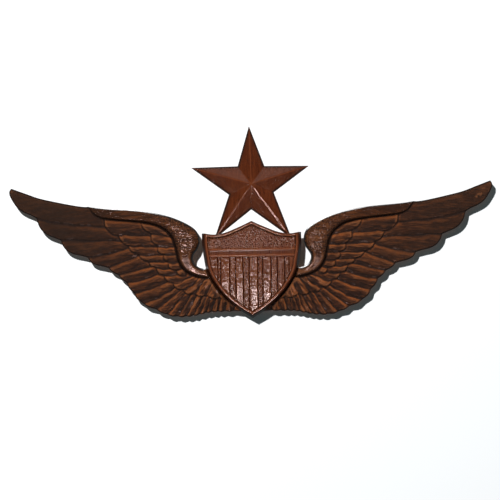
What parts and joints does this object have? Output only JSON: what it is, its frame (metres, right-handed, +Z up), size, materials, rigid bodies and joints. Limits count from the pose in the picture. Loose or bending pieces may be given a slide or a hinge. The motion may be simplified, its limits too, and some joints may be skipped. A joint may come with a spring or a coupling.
{
  "type": "carved wooden wings wall plaque",
  "caption": "Wall plaque carved in wood: feathered wings either side of a striped shield with a faceted star above, hung by swinging D rings on its back.",
  "frame": {"origin": "the middle of the centre wall pad's rear face, on the wall plane and on the centreline", "axes": "+X to the right as seen from the front, +Z up, +Y into the wall: the carved front faces -Y"},
  "size_m": [0.4572, 0.0255, 0.1818],
  "materials": {
    "left_wing_wood": "semi-gloss lacquer",
    "right_wing_wood": "semi-gloss lacquer",
    "shield_wood": "semi-gloss lacquer",
    "star_wood": "semi-gloss lacquer",
    "block_wood": "stained, unlacquered",
    "birch": "plain",
    "brad_steel": "bright drawn",
    "screw_steel": "yellow zinc",
    "strap_steel": "bright zinc",
    "ring_steel": "bright zinc",
    "hanger_screw_steel": "bright zinc",
    "pad_rubber": "matt"
  },
  "bodies": {
    "plaque": {"left_wing": "left_wing_wood", "right_wing": "right_wing_wood", "backing_block": "block_wood", "shield": "shield_wood", "star": "star_wood", "star_pins": "brad_steel", "centre_dowels": "birch", "block_dowels": "birch", "shield_screws": "screw_steel", "left_hanger_strap": "strap_steel", "left_hanger_screw": "hanger_screw_steel", "left_outer_wall_pad": "pad_rubber", "left_lower_wall_pad": "pad_rubber", "right_hanger_strap": "strap_steel", "right_hanger_screw": "hanger_screw_steel", "right_outer_wall_pad": "pad_rubber", "right_lower_wall_pad": "pad_rubber", "centre_wall_pad": "pad_rubber", "star_wall_pad": "pad_rubber"},
    "left_ring": {"left_hanger_ring": "ring_steel"},
    "right_ring": {"right_hanger_ring": "ring_steel"}
  },
  "joints": [
    {"name": "left_ring_swing", "type": "hinge", "parent": "plaque", "child": "left_ring", "pos_m": [-0.085, -0.00325, 0.009], "axis": [-1, 0, 0], "range_deg": [0, 175]},
    {"name": "right_ring_swing", "type": "hinge", "parent": "plaque", "child": "right_ring", "pos_m": [0.085, -0.00325, 0.009], "axis": [-1, 0, 0], "range_deg": [0, 175]}
  ]
}
